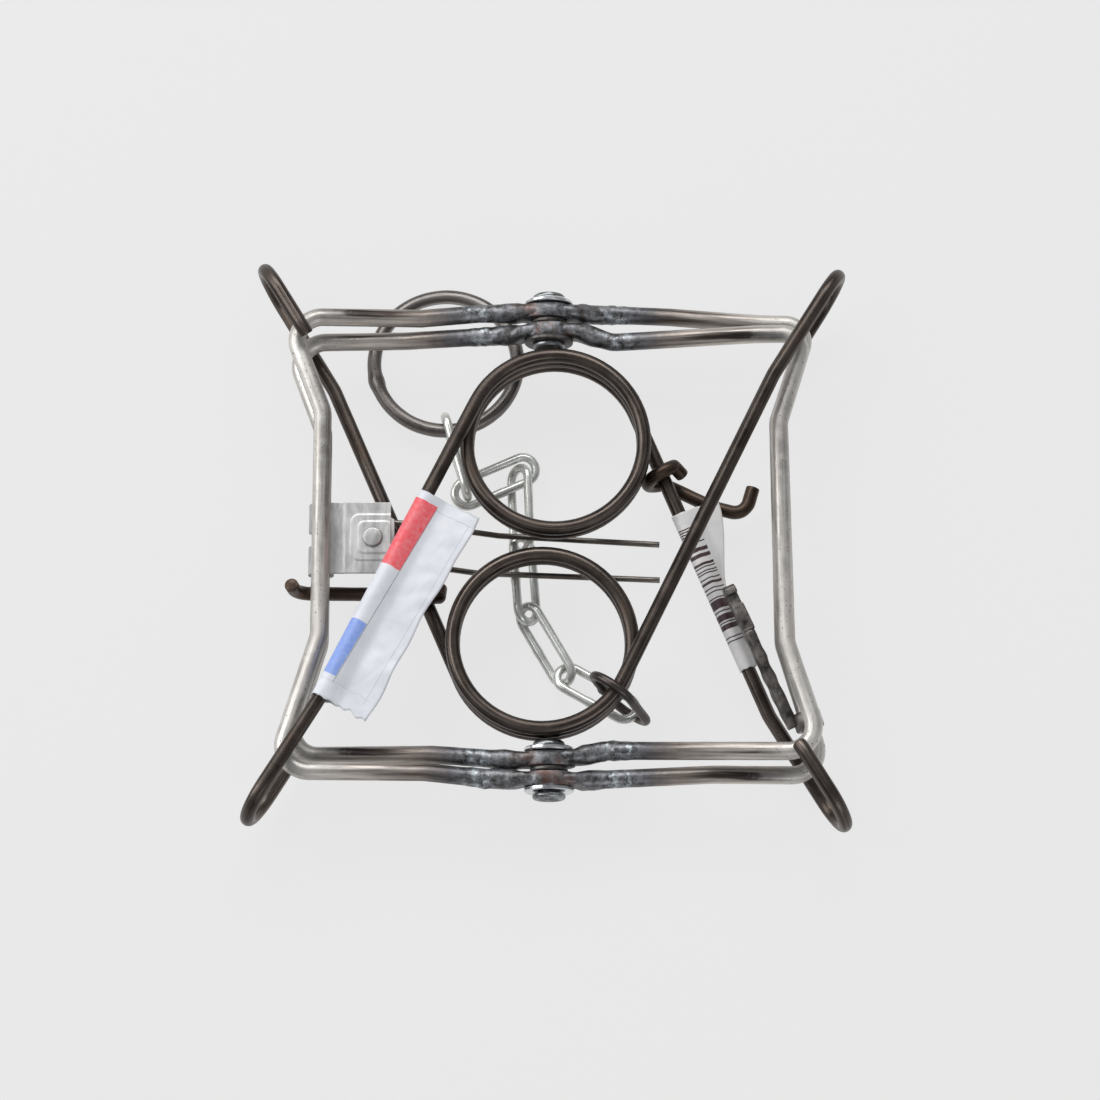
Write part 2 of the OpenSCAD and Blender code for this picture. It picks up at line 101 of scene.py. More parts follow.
def new_material(name, metallic, roughness):
    material = bpy.data.materials.new(name)
    material.use_nodes = True
    tree = material.node_tree
    shader = tree.nodes["Principled BSDF"]
    shader.inputs["Metallic"].default_value = metallic
    shader.inputs["Roughness"].default_value = roughness
    return material, tree, shader


# %% [markdown]
# ## Drawn wire, the finish that most of the trap shares
# Rod and wire are pulled through a die, which leaves fine lines along them, and
# they are bent afterwards. So the lines have to follow the wire round its bends.
# Every swept piece therefore carries an attribute named wire: the place in the
# straight wire before it was bent, across it in x and y and along it in z. Noise
# that is stretched along z gives die lines under 1 mm apart and tens of
# millimetres long, and noise that isn't stretched gives patches, pits and stains.

# %% One recipe for drawn wire, with its own colours for each piece
def drawn_wire(name, dark, middle, light, roughness, metallic=0.85, lines=0.5, stains=None,
               line_bump=0.25, pitted=0.52, pit=None):
    """lines is how strong the die lines are, and pitted how high the patches' noise has to be for pits."""
    material, tree, shader = new_material(name, metallic, roughness)
    wire = add(tree, "Attribute", out="Vector", attribute_name="wire")
    along = add(tree, "VectorMath", [wire, (1, 1, 0.012)], operation="MULTIPLY")
    die, long_tone, patches = (
        add(tree, "TexNoise", {"Vector": vector, "Scale": scale, "Detail": detail, "Roughness": rough})
        for vector, scale, detail, rough in ((along, 1500, 3, 0.6), (along, 420, 2, 0.5), (wire, 130, 5, 0.65)))
    tone = add(tree, "Math", [long_tone, lines, patches], operation="MULTIPLY_ADD")
    tone, streak, rare = (
        add(tree, "MapRange", [value, low, high])
        for value, low, high in ((tone, 0.52, 0.98), (die, 0.5, 0.78), (patches, pitted, pitted + 0.1)))
    streak = add(tree, "Math", [streak, lines], operation="MULTIPLY")
    pits = add(tree, "TexVoronoi", {"Vector": wire, "Scale": 750, "Randomness": 1})
    pits = add(tree, "MapRange", [pits, 0.1, 0.2, 1, 0])
    pits = add(tree, "Math", [pits, rare], operation="MULTIPLY")
    layers = [(tone, middle), (streak, light), (pits, pit or dark)]
    if stains:
        where = add(tree, "TexNoise", {"Vector": wire, "Scale": 60, "Detail": 6, "Roughness": 0.7})
        where = add(tree, "MapRange", [where, 0.56, 0.72])
        layers.append((where, stains))
    colour = dark
    for mask, tint in layers:
        colour = add(tree, "Mix", {"Factor": mask, COLOUR_A: colour, COLOUR_B: tint}, **MIX_COLOURS)
    rough = add(tree, "MapRange", [patches, 0.3, 0.7, roughness - 0.08, roughness + 0.1])
    height = add(tree, "Math", [pits, -0.5, die], operation="MULTIPLY_ADD")
    bump = add(tree, "Bump", {"Height": height, "Strength": line_bump, "Distance": 0.0002})
    for socket, value in (("Base Color", colour), ("Roughness", rough), ("Normal", bump)):
        tree.links.new(value, shader.inputs[socket])
    return material, tree, shader, colour


spring_wire = drawn_wire("oil_tempered_spring_wire", "#1f1a18", "#4b433e", "#8a8078", 0.34,
                         lines=0.7, stains="#4d4038")[0]
hook_wire = drawn_wire("black_annealed_wire", "#2a211c", "#54463c", "#7d6d60", 0.42, lines=0.4, stains="#6b5444")[0]
trigger_wire = drawn_wire("bright_drawn_thin_wire", "#4a4541", "#7d7872", "#a8a39c", 0.38)[0]
link_wire = drawn_wire("bright_zinc_plated_wire", "#bdbfba", "#e6e7e3", "#f8f8f5", 0.3,
                       metallic=0.6, lines=0.3, stains="#c6c7bd", line_bump=0.08)[0]
dark_ring_wire = drawn_wire("blackened_ring_wire", "#2b2725", "#5a5350", "#8b8480", 0.4, lines=0.4)[0]
print("drawn wires:", len(bpy.data.materials))

# %% [markdown]
# ## The frames' rod: bright jaws, darker cross bars, and heat at the welds
# The jaws are painted pale and lightly pitted, and part of that paleness is painted
# highlight from the soft light round them. The cross bars keep the brown-black scale
# of the mill, with light streaks along them that are painted sheen. Resistance welding
# blues the steel beside each joint: straw first, then blue, then grey scale with pale
# flakes. All of that lies at set distances from the pivots along X, so the material
# blends the finishes by the Object coordinate's x, in metres, with noise in the
# borders. Rust red shows where the pads rub.

# %% Frame rod material
BORDER_NOISE = 0.014  # how far, in metres, noise moves the borders between the finishes
WELD_X = 0.0262       # where the flakes lie, with that noise in it


def frame_rod():
    material, tree, shader, bright = drawn_wire("drawn_mild_steel_rod", "#918e8a", "#c9c6c1", "#e6e3de", 0.45,
                                                metallic=0.8, lines=0.8, pitted=0.42, pit="#5d544e")
    wire = add(tree, "Attribute", out="Vector", attribute_name="wire")
    place = add(tree, "TexCoord", out="Object")
    stretched = add(tree, "VectorMath", [wire, (1, 1, 0.03)], operation="MULTIPLY")
    ragged, sheen_streaks, mottle, flakes, rust = (
        add(tree, "TexNoise", {"Vector": vector, "Scale": scale, "Detail": detail, "Roughness": rough})
        for vector, scale, detail, rough in ((wire, 220, 5, 0.7), (stretched, 520, 4, 0.6), (place, 380, 5, 0.7),
                                             (place, 420, 5, 0.75), (place, 140, 6, 0.75)))
    x = add(tree, "Math", [add(tree, "SeparateXYZ", [place])], operation="ABSOLUTE")
    x = add(tree, "Math", [ragged, BORDER_NOISE, x], operation="MULTIPLY_ADD")
    from_weld = add(tree, "Math", [add(tree, "Math", [x, WELD_X], operation="SUBTRACT")], operation="ABSOLUTE")
    sheen_streaks, mottle, flakes, rust, brown, blue, grey, weld, middle, jaw = (
        add(tree, "MapRange", [value, low, high, at_low, at_high])
        for value, low, high, at_low, at_high in (
            (sheen_streaks, 0.4, 0.64, 0, 1), (mottle, 0.38, 0.62, 0, 1), (flakes, 0.5, 0.6, 0, 1), (rust, 0.48, 0.62, 0, 0.7),
            (x, 0.034, 0.058, 0.65, 0), (x, 0.033, 0.042, 0.7, 0), (x, 0.029, 0.036, 0.95, 0),
            (from_weld, 0.0018, 0.0036, 1, 0), (x, 0.011, 0.019, 1, 0), (x, 0.062, 0.078, 0, 1)))
    flakes, rust = (add(tree, "Math", [value, near], operation="MULTIPLY")
                    for value, near in ((flakes, weld), (rust, middle)))
    scale = add(tree, "Mix", {"Factor": mottle, COLOUR_A: "#3a3938", COLOUR_B: "#85868a"}, **MIX_COLOURS)
    colour = "#2f2926"
    # The first mask paints light streaks on the dark cross bars as painted sheen. The last paints the jaws pale: pale
    # drawn steel, and in part painted highlight.
    for mask, tint in ((sheen_streaks, "#d2cac3"), (brown, "#54443a"), (blue, "#464c56"), (grey, scale),
                       (flakes, "#aab2b6"), (rust, "#64473d"), (jaw, bright)):
        colour = add(tree, "Mix", {"Factor": mask, COLOUR_A: colour, COLOUR_B: tint}, **MIX_COLOURS)
    tree.links.new(colour, shader.inputs["Base Color"])
    return material


frame_steel = frame_rod()

# %% [markdown]
# ## The anchor ring, the sheet metal, the zinc washers and the rivets
# The anchor ring is wire, butt welded, with a blue-grey weld and a brown tint
# beside it, which its own attribute named heat gives. The trigger is stamped from
# cold rolled sheet: the grain of the roll shows as faint lines, and the steel is a
# soft satin grey. Two kinds of washer are zinc plated, bright with a faint haze,
# and the ones by the welds are scorched. The upper inner washer is painted dark with
# the same finish, as painted shade in the gap under its pad. The tubular rivets are
# plain steel with rolled, rubbed heads, and the dog is black from the forge.

# %% Ring, sheet, zinc, rivet and forged materials
def anchor_wire():
    material, tree, shader, colour = drawn_wire("welded_ring_wire", "#2f2b29", "#6c6764", "#b3afab", 0.38, lines=0.85)
    heat = add(tree, "Attribute", out="Fac", attribute_name="heat")
    for low, high, tint in ((0.15, 0.55, "#6d4c38"), (0.55, 0.8, "#8b9cab")):
        near = add(tree, "MapRange", [heat, low, high])
        colour = add(tree, "Mix", {"Factor": near, COLOUR_A: colour, COLOUR_B: tint}, **MIX_COLOURS)
    tree.links.new(colour, shader.inputs["Base Color"])
    return material


def satin_metal(name, dark, light, roughness, grain, metallic=1.0, stretch=(1, 1, 1), depth=0.15):
    """grain is the scale of the fine noise and depth how strong its bump is."""
    material, tree, shader = new_material(name, metallic, roughness)
    place = add(tree, "TexCoord", out="Object")
    place = add(tree, "VectorMath", [place, stretch], operation="MULTIPLY")
    fine = add(tree, "TexNoise", {"Vector": place, "Scale": grain, "Detail": 4, "Roughness": 0.65})
    haze = add(tree, "TexNoise", {"Vector": place, "Scale": grain / 5, "Detail": 3})
    tone = add(tree, "Math", [fine, haze], operation="MULTIPLY")
    tone = add(tree, "MapRange", [tone, 0.14, 0.36])
    colour = add(tree, "Mix", {"Factor": tone, COLOUR_A: dark, COLOUR_B: light}, **MIX_COLOURS)
    rough = add(tree, "MapRange", [haze, 0.3, 0.7, roughness - 0.06, roughness + 0.1])
    bump = add(tree, "Bump", {"Height": fine, "Strength": depth, "Distance": 0.0001})
    for socket, value in (("Base Color", colour), ("Roughness", rough), ("Normal", bump)):
        tree.links.new(value, shader.inputs[socket])
    return material


ring_steel = anchor_wire()
sheet_steel = satin_metal("cold_rolled_sheet_steel", "#9c9d9c", "#c2c2c1", 0.42, 800, 0.75, stretch=(1, 0.3, 1))
zinc_plate = satin_metal("bright_zinc_plate", "#b4b8ba", "#e6e8ea", 0.2, 300)
# the dark scorched finish, which also paints the upper inner washer dark as painted shade under its pad
scorched_and_shade_plate = satin_metal("weld_scorched_and_painted_shade_plate", "#33302f", "#6c6967", 0.4, 500, 0.8, depth=0.3)
rivet_steel = satin_metal("rubbed_rivet_steel", "#4f5050", "#9da0a1", 0.3, 700, 0.9, depth=0.3)
forged_steel = satin_metal("black_forged_steel", "#2d2a29", "#86817d", 0.4, 300, 0.85, depth=0.5)
print("materials:", [m.name for m in bpy.data.materials])

# %% [markdown]
# ## Coated label paper
# Each label is a strip of white coated paper, folded round the wire and pressed to
# itself. The print follows the paper, so it reads the piece's own UV map, whose
# units are millimetres: u along the wire and v across it, from the edge of the
# coloured blocks. One label has a red and a blue block and thin rules, the other a
# plain block of uneven stripes. There is no lettering on either.

# %% Paper with printed blocks
STRIPES_PER_MM, STRIPE_SHARE, STRIPE_INK = 2.7, 0.5, "#3d2b2f"


def box_mask(tree, u, v, low_u, high_u, low_v, high_v):
    inside = None
    for value, low, high in ((u, low_u, high_u), (v, low_v, high_v)):
        for edge, kind in ((low, "GREATER_THAN"), (high, "LESS_THAN")):
            test = add(tree, "Math", [value, edge], operation=kind)
            if inside is not None:
                test = add(tree, "Math", [inside, test], operation="MULTIPLY")
            inside = test
    return inside


def label_paper(name, white, blocks, stripes=None):
    """blocks is a list of (colour, low u, high u, low v, high v), and stripes the sides of the striped block."""
    material, tree, shader = new_material(name, 0.0, 0.42)
    uv = add(tree, "UVMap", uv_map="print")
    u, v = (add(tree, "SeparateXYZ", [uv], out=axis) for axis in "XY")
    place = add(tree, "TexCoord", out="Object")
    fibre = add(tree, "TexNoise", {"Vector": place, "Scale": 900, "Detail": 4})
    shade = add(tree, "TexNoise", {"Vector": place, "Scale": 160, "Detail": 3})
    crease = add(tree, "TexVoronoi", {"Vector": place, "Scale": 110}, feature="DISTANCE_TO_EDGE")
    crease, shade, worn = (
        add(tree, "MapRange", [value, low, high, at_low, at_high])
        for value, low, high, at_low, at_high in (
            (crease, 0, 0.12, 0, 0.6), (shade, 0.35, 0.7, 0, 0.3), (fibre, 0.3, 0.7, 0.8, 1)))
    layers = [(shade, "#a9adb7")]
    for code, *sides in blocks:
        ink = box_mask(tree, u, v, *sides)
        layers.append((add(tree, "Math", [ink, worn], operation="MULTIPLY"), code))
    if stripes:
        cell = add(tree, "Math", [u, STRIPES_PER_MM], operation="MULTIPLY")
        cell = add(tree, "Math", [cell], operation="FLOOR")
        bars = add(tree, "TexWhiteNoise", {"W": cell}, noise_dimensions="1D")
        bars = add(tree, "Math", [bars, STRIPE_SHARE], operation="GREATER_THAN")
        ink = box_mask(tree, u, v, *stripes)
        layers.append((add(tree, "Math", [ink, bars], operation="MULTIPLY"), STRIPE_INK))
    colour = white
    for mask, tint in layers:
        colour = add(tree, "Mix", {"Factor": mask, COLOUR_A: colour, COLOUR_B: tint}, **MIX_COLOURS)
    height = add(tree, "Math", [fibre, 0.1, crease], operation="MULTIPLY_ADD")
    bump = add(tree, "Bump", {"Height": height, "Strength": 0.25, "Distance": 0.0003})
    tree.links.new(colour, shader.inputs["Base Color"])
    tree.links.new(bump, shader.inputs["Normal"])
    return material


flag_blocks = [
    ("#dc4b53", 2.5, 23.5, -14, 0), ("#7490d2", 41, 58, -14, -0.1), ("#74757b", 3.0, 60, 0, 0.18),
    ("#aab0bb", 3.4, 3.6, 0, 11), ("#aab0bb", 3.4, 61, 10.1, 10.28), ("#b4b7c0", 59.6, 59.8, -14, 11)
]
flag_paper = label_paper("coated_label_paper_colour", "#cfd1d6", flag_blocks)
stripe_paper = label_paper("coated_label_paper_stripes", "#cfcdcb", [], stripes=(4.8, 39.5, -9, 3.4))

# %% [markdown]
# ## Sweeping a rod along its bends
# Every rod here is round bar bent to a line. A curve object with a bevel would do
# it, but it gives no hold on the section, and the rods are flattened at their pads
# and swollen at their welds. So a ring is made with create_circle, extruded once
# for each step of the line, and moved to its place there. The ring's own frame is
# carried along without twist, and the wire attribute is written at the same time.

# %% Points on bent and round lines
MM = 0.001  # lines are written in mm, and meshes are in metres
STRAIGHT = 0.01  # a turn below this, in radians, isn't rounded
LEG_SHARE = 0.49  # the most of a straight leg for one bend


def bent(points, radius, step=7.5):
    """The line through points (mm) with a round bend at each inner one, in steps of some degrees."""
    line = [Vector(p) if len(p) == 3 else Vector((p[0], p[1], 0)) for p in points]
    out = [line[0]]
    for before, corner, after in zip(line, line[1:], line[2:]):
        come, go = (corner - before).normalized(), (after - corner).normalized()
        turn = come.angle(go)
        if turn < STRAIGHT:
            out.append(corner)
            continue
        reach = min(radius * tan(turn / 2), (corner - before).length * LEG_SHARE,
                    (after - corner).length * LEG_SHARE)
        bend = reach / tan(turn / 2)
        centre = corner + (go - come).normalized() * bend / cos(turn / 2)
        out_way = (corner - come * reach - centre).normalized()
        count = max(2, ceil(degrees(turn) / step))
        for k in range(count + 1):
            angle = turn * k / count
            out.append(centre + bend * (cos(angle) * out_way + sin(angle) * come))
    return out + [line[-1]]


def refined(line, longest):
    """The same line with no longer step, so that section and noise can change along it."""
    out = [line[0]]
    for a, b in zip(line, line[1:]):
        count = max(1, ceil((b - a).length / longest))
        out += [a.lerp(b, k / count) for k in range(1, count + 1)]
    return out


def arc(centre, radius, start, end, count=8):
    angles = [radians(start + (end - start) * i / count) for i in range(count + 1)]
    return [(centre[0] + radius * cos(a), centre[1] + radius * sin(a)) for a in angles]


def line_length(line):
    return sum((b - a).length for a, b in zip(line, line[1:]))


# %% The sweep
def verts_in(made):
    return [v for v in made["geom"] if isinstance(v, bmesh.types.BMVert)]


def edges_among(verts):
    found = set(verts)
    return [e for e in {e for v in verts for e in v.link_edges} if e.verts[0] in found and e.verts[1] in found]


def sweep(mesh, line, size, place, rough, sides=20, closed=False, grain=500, heat=None, cap_bevel=0.3):
    """Sweeps a ring along line (mm), which place puts into the trap.

    size is a radius, or a function of the run in mm that gives the half sizes upwards and
    sideways and how square the section is. rough is how far noise pushes the surface in or out,
    in mm, or a function of the run. heat is a function of the run, kept as an attribute.
    """
    wire = mesh.verts.layers.float_vector.get("wire") or mesh.verts.layers.float_vector.new("wire")
    hot = mesh.verts.layers.float.get("heat") or mesh.verts.layers.float.new("heat")
    line = [place @ p for p in line]
    side = place.to_3x3() @ Vector((0, 0, 1))
    count, run, rings, moves, last = len(line), 0.0, [], [], None
    ring = bmesh.ops.create_circle(mesh, cap_ends=False, radius=1, segments=sides)["verts"]
    for i in range(count):
        ahead = line[(i + 1) % count] if closed else line[min(i + 1, count - 1)]
        behind = line[i - 1] if closed else line[max(i - 1, 0)]
        tangent = (ahead - behind).normalized()
        if last is not None:
            side.rotate(last[1].rotation_difference(tangent))
            run += (line[i] - line[i - 1]).length
        side = (side - side.dot(tangent) * tangent).normalized()
        across = tangent.cross(side)
        a, b, square = size(run) if callable(size) else (size, size, 0)
        here = Matrix((side * a * MM, across * b * MM, tangent * MM)).transposed().to_4x4()
        here.translation = line[i] * MM
        if last is None:
            bmesh.ops.transform(mesh, matrix=here, verts=ring)
        else:
            ring = verts_in(bmesh.ops.extrude_edge_only(mesh, edges=edges_among(ring)))
            bmesh.ops.transform(mesh, matrix=here @ last[0].inverted(), verts=ring)
        back = here.inverted()
        bumpy = rough(run) if callable(rough) else rough
        for v in ring:
            flat = back @ v.co
            v[wire] = (flat.x * a * MM, flat.y * b * MM, run * MM)
            v[hot] = heat(run) if heat else 0.0
            corner = Vector([copysign(abs(c) ** (1 - 0.5 * square), c) for c in flat.xy] + [0])
            bump = noise.noise(v.co * grain) * bumpy * MM * (v.co - line[i] * MM).normalized()
            moves.append((v, here.to_3x3() @ (corner - Vector((flat.x, flat.y, 0))) + bump))
        last = (here, tangent.copy())
        rings.append(ring)
    for v, move in moves:
        v.co += move
    if closed:
        bmesh.ops.bridge_loops(mesh, edges=edges_among(rings[0]) + edges_among(rings[-1]))
        return
    for ends in (rings[0], rings[-1]):
        bmesh.ops.contextual_create(mesh, geom=edges_among(ends))
        if cap_bevel:
            bmesh.ops.bevel(mesh, geom=edges_among(ends), offset=cap_bevel * MM, segments=2,
                            affect="EDGES", profile=0.5, material=-1)


# %% [markdown]
# ## Turning a mesh into a piece of the trap
# Each finished mesh becomes one object at the origin. It rides on its CAD body and
# stands for its CAD node. Its normals are worked out afresh, because a sweep may
# come out inside out.

# %% The functions that place an object and finish a piece
def new_object(name, data):
    made = bpy.data.objects.new(name, data)
    bpy.context.scene.collection.objects.link(made)
    return made


def piece(node, form, mesh, material, body, smooth_angle=40):
    name = f"{node}_{form}"
    bmesh.ops.recalc_face_normals(mesh, faces=mesh.faces)
    data = bpy.data.meshes.new(name)
    for face in mesh.faces:
        face.smooth = True
    for edge in mesh.edges:
        edge.smooth = not (len(edge.link_faces) == 2 and edge.calc_face_angle(0) > radians(smooth_angle))
    mesh.to_mesh(data)
    mesh.free()
    made = new_object(name, data)
    data.materials.append(material)
    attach(made, body)
    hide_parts(node)
    print(f"{name}: {len(data.polygons)} faces")
    return made


# %% [markdown]
# ## The four half frames
# Each half is one 5 mm rod, bent square with its jaw bowed in at the waist. One end
# is forged flat and pierced for the pivot, and the other is butt welded to the
# stub of the other half, which upsets a lumpy collar of metal. The pierced eye is a
# disc with a hole, and the rod is tall and square where it runs into it.
# The frames' planes stand 3 degrees up and down from the floor, so that one jaw
# passes the other.

# %% Sizes of the frames
LIFT = 17.6  # height of the pivots over the floor
ROD_R = 2.5
SHUT = radians(3)  # each frame's plane against the floor
outer_plane = Matrix.Translation((0, 0, LIFT)) @ Matrix.Rotation(SHUT, 4, "Y")
inner_plane = Matrix.Translation((0, 0, LIFT)) @ Matrix.Rotation(-SHUT, 4, "Y")
half_frames = {
    "outer_frame_left": dict(
        plane=outer_plane, body="outer_frame", pad=66.8, stub=[(3.2, 66.8), (18.1, 66.8)],
        run=[(-3.2, 66.8), (-9, 66.8), (-20, 66.4), (-36, 64.8), (-74, 64.8), (-63.3, 37), (-63.3, -27),
             (-75, -64.8), (-34, -64.8), (-18, -66.4)]),
    "outer_frame_right": dict(
        plane=outer_plane, body="outer_frame", pad=-66.8, stub=[(-3.2, -66.8), (-18.1, -66.4)],
        run=[(3.2, -66.8), (9, -66.8), (45, -64.8), (76, -64.8), (65, -28), (64.6, 36), (74, 64.8), (60, 64.8),
             (34, 66.4), (18, 66.8)]),
    "inner_frame_left": dict(
        plane=inner_plane, body="inner_frame", pad=-61.2, stub=[(3.2, -61.2), (15.7, -58.8), (18.1, -58.8)],
        run=[(-3.2, -61.2), (-9, -61.2), (-32, -59.4), (-73, -59.4), (-63.5, -28), (-63.5, 33), (-73.5, 59.4),
             (-40, 59.4), (-18, 60.4)]),
    "inner_frame_right": dict(
        plane=inner_plane, body="inner_frame", pad=61.2, stub=[(-3.2, 61.2), (-15.7, 60.4), (-18.1, 60.4)],
        run=[(3.2, 61.2), (8.4, 61.2), (18, 58), (58, 59.8), (72.5, 59.8), (64.4, 34), (65.3, -29), (75, -59.4),
             (18, -58.8)]),
}


# %% Sections that flatten into the pad and swell at the weld
def smooth_step(low, high, value):
    t = min(1, max(0, (value - low) / (high - low)))
    return t * t * (3 - 2 * t)


def frame_section(length):
    """The section at a run: tall and square by the eye, round along the rod, swollen at the weld."""
    def size(run):
        pad = 1 - smooth_step(1, 13, run)
        beside_eye = 1 - smooth_step(3.6, 6.4, run)
        shoulder = exp(-((run - 9) / 2.8) ** 2)
        gap = length - run
        collar = 0.3 * exp(-(gap / 1.6) ** 2) + 0.16 * exp(-((gap - 3.1) / 0.9) ** 2)
        return ROD_R + 2.1 * pad + collar, ROD_R - 0.42 * beside_eye + 0.32 * shoulder + collar, 0.75 * pad
    return size


def hammered(length, most):
    """How rough the rod is at a run: hammer marks by the pad, spatter by the weld."""
    return lambda run: 0.04 + most * (exp(-((length - run) / 3.5) ** 2) + 1.6 * exp(-(run / 11) ** 2))


def in_metres(matrix):
    out = matrix.copy()
    out.translation = out.translation * MM
    return out


# %% [markdown]
# The pierced eye is a turned shape, as the rivets and washers are: a profile of
# radius and place along the axis is spun round it.

# %% Spinning a profile, and the forged eye
def spun(mesh, profile, centre=(0, 0, 0), axis=(0, 1, 0), steps=48, flip=1):
    """profile is a closed list of (radius, place along the axis) in mm, and flip = -1 turns it over."""
    axis, centre = Vector(axis), Vector(centre)
    verts = [mesh.verts.new((Vector((r, 0, 0)) + axis * h * flip + centre) * MM) for r, h in profile]
    edges = [mesh.edges.new(pair) for pair in zip(verts, verts[1:] + verts[:1])]
    bmesh.ops.spin(mesh, geom=verts + edges, cent=centre * MM, axis=axis, angle=2 * pi, steps=steps, use_merge=True)


EYE_THICK, EYE_OUT, EYE_BORE, EYE_SOFT = 4.2, 5.4, 3.05, 0.7
EYE_SPREAD = 0.42  # how much wider than tall it is
EYE_WALL = 0.5  # the metal by the bore that stays round


def eye_disc(mesh, y, plane):
    """A flat ring across the pivot line, hammered out sideways into the two rods."""
    before = set(mesh.verts)
    low, high = y - EYE_THICK / 2, y + EYE_THICK / 2
    ring = [(EYE_OUT - EYE_SOFT, 0), (EYE_OUT - EYE_SOFT * 0.3, EYE_SOFT * 0.3), (EYE_OUT, EYE_SOFT)]
    outline = [(EYE_BORE, low)] + [(r, low + h) for r, h in ring]
    outline += [(r, high - h) for r, h in reversed(ring)] + [(EYE_BORE, high)]
    spun(mesh, outline, steps=40)
    turned = [v for v in mesh.verts if v not in before]
    for v in turned:
        if hypot(v.co.x, v.co.z) > (EYE_BORE + EYE_WALL) * MM:
            push = 1 + noise.noise(v.co * 330) * 0.05
            v.co.x, v.co.z = v.co.x * (push + EYE_SPREAD), v.co.z * push
    bmesh.ops.transform(mesh, matrix=in_metres(plane), verts=turned)


# %% Build the half frames
for name, half in half_frames.items():
    mesh = bmesh.new()
    eye_disc(mesh, half["pad"], half["plane"])
    for points, bend, longest, most in ((half["run"], 7, 1.6, 0.2), (half["stub"], 4, 0.8, 0.3)):
        line = refined(bent(points, bend), longest)
        long = line_length(line)
        sweep(mesh, line, frame_section(long), half["plane"], hammered(long, most), sides=24, grain=380, cap_bevel=0)
    piece(name, "rod", mesh, frame_steel, half["body"])

# %% [markdown]
# ## Pivots: tubular rivets and washers
# Each pivot is a steel tube whose ends are rolled over, with washers between the
# pads. Both pivots share one profile, turned over for the lower one.

# %% Both rivets
rivet_profile = (
    [(1.7, 55.9), (2.0, 55.8), (3.5, 55.8), (4.3, 56.4), (4.6, 57.2), (4.5, 57.58), (3.0, 57.6), (3.0, 70.4)]
    + arc((3.7, 71.3), 0.9, -60, 100) + [(2.9, 72.05), (2.2, 71.6), (1.75, 70.9)]
)
for name, flip in (("top_pivot_rivet", 1), ("bottom_pivot_rivet", -1)):
    mesh = bmesh.new()
    spun(mesh, rivet_profile, (0, 0, LIFT), flip=flip)
    piece(name, "tube", mesh, rivet_steel, "inner_frame", 50)

# %% Washers, with a soft pressed edge
WASHER_HOLE, WASHER_T, EDGE = 3.2, 1.2, 0.22
washers = [("inner_washers", 57.8, 6.8, zinc_plate), ("middle_washers", 63.4, 5.2, scorched_and_shade_plate),
           ("outer_washers", 69.0, 6.8, zinc_plate)]
for name, foot, radius, finish in washers:
    mesh = bmesh.new()
    top = foot + WASHER_T
    profile = [(WASHER_HOLE, foot + 0.1), (WASHER_HOLE + 0.1, foot), (radius - EDGE, foot), (radius, foot + EDGE),
               (radius, top - EDGE * 1.6), (radius - EDGE * 1.8, top), (WASHER_HOLE + 0.3, top),
               (WASHER_HOLE, top - 0.3)]
    for flip in (1, -1):
        spun(mesh, profile, (0, 0, LIFT), flip=flip)
    made = piece(name, "pressed", mesh, finish, "inner_frame", 35)
    if name == "inner_washers":  # the upper one is painted dark with the scorched finish, as painted shade under its pad
        made.data.materials.append(scorched_and_shade_plate)
        for face in made.data.polygons:
            face.material_index = int(face.center.y > 0)

# %% [markdown]
# ## The two springs
# Each spring is one 4 mm wire: an eye, an arm, two turns and a part of a coil, the
# other arm and the other eye. Both springs are the same part, one turned half round
# in the plane. The line is worked out as the winder would set it: the coil's radius,
# pitch and span, then the arms, which spread from the coil to the corners, then the
# eyes, which stand upright round both frames and end a short curl past them.

# %% The spring's line, with the coil's centre at height 0
COIL_AT, COIL_R = (1.8, 28.4), 24.75
COIL_RISE, COIL_SPAN, COIL_START = 10.6, 848, 154  # its height in mm, its turn and its first angle in degrees
EYE_R, EYE_L = 9.6, 10.8
ARM_BEND, SPRING_R = 14, 2.0
ARMS = {1: ((-62.5, -46), (-82, -77.3)), -1: ((61, -47), (80.5, -79))}  # high and low: the eye's start and its tip


def coil_point(turned_by):
    at = radians(COIL_START - turned_by)
    return Vector((COIL_AT[0] + COIL_R * cos(at), COIL_AT[1] + COIL_R * sin(at),
                   COIL_RISE * (0.5 - turned_by / COIL_SPAN)))


def eye_line(bend, tip, high):
    """The eye's line from the arm: along the top, round the far end, and back with its end curled in."""
    bend, tip = Vector(bend), Vector(tip)
    out = (tip - bend).normalized()
    far = (tip - bend).length - EYE_R
    near = far - EYE_L

    def at(s, z):
        return Vector((bend.x + s * out.x, bend.y + s * out.y, z * high))

    line = [at(near * 0.5, EYE_R), at(near, EYE_R)]
    line += [at(s, z) for z, s in arc((0, far), EYE_R, 0, 180, 30)]
    line += [at(far - (far - near) * k / 4, -EYE_R) for k in range(1, 5)]
    return line + [at(s, z) for z, s in arc((0, near), EYE_R, 185, 205, 4)]


def spring_line(steps=170):
    coil = [coil_point(COIL_SPAN * i / steps) for i in range(steps + 1)]
    ends = {}
    for high, start in ((1, coil[0]), (-1, coil[-1])):
        bend, tip = ARMS[high]
        corner = Vector((*bend, EYE_R * high))
        eye = eye_line(bend, tip, high)
        ends[high] = bent([start.lerp(corner, 0.04), corner, eye[0]], ARM_BEND) + eye[1:]
    return ends[1][::-1] + coil + ends[-1]


# %% Both springs
raised = Matrix.Translation((0, 0, LIFT))
turned = Matrix.Rotation(pi, 4, "Z")
for name, place in (("bottom_spring", raised), ("top_spring", raised @ turned)):
    mesh = bmesh.new()
    line = refined(spring_line(), 3.0)
    sweep(mesh, line, SPRING_R, place, 0.02, cap_bevel=0.25)
    piece(name, "wire", mesh, spring_wire, name)
print("spring wire, mm:", round(line_length(line)))

